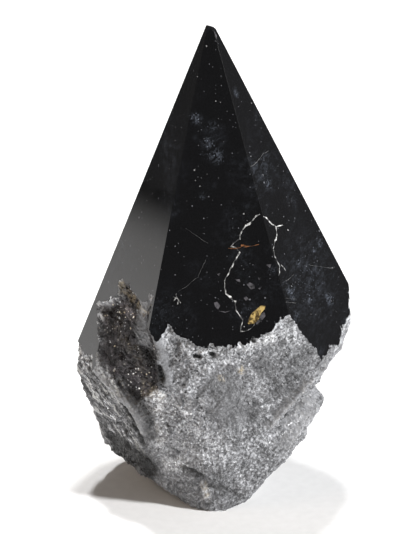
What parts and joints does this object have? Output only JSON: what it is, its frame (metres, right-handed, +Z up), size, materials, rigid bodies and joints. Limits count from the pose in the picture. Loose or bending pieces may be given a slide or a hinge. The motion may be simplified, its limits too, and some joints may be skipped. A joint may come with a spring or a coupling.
{
  "type": "polished black tourmaline point",
  "caption": "Free-standing black crystal point with polished tapering faces over a rough broken lower half, cut flat underneath so that it stands upright.",
  "frame": {"origin": "on the flat cut underside, below the point", "axes": "+Z up through the point, -Y towards the face seen in the picture, +X to the right in the picture"},
  "size_m": [0.0442, 0.035, 0.0793],
  "materials": {
    "black_tourmaline": "natural stone, not plastic: glossy near-black where ground and polished, grey and grainy where broken"
  },
  "bodies": {
    "root": {"tourmaline_point": "black_tourmaline"}
  },
  "joints": []
}
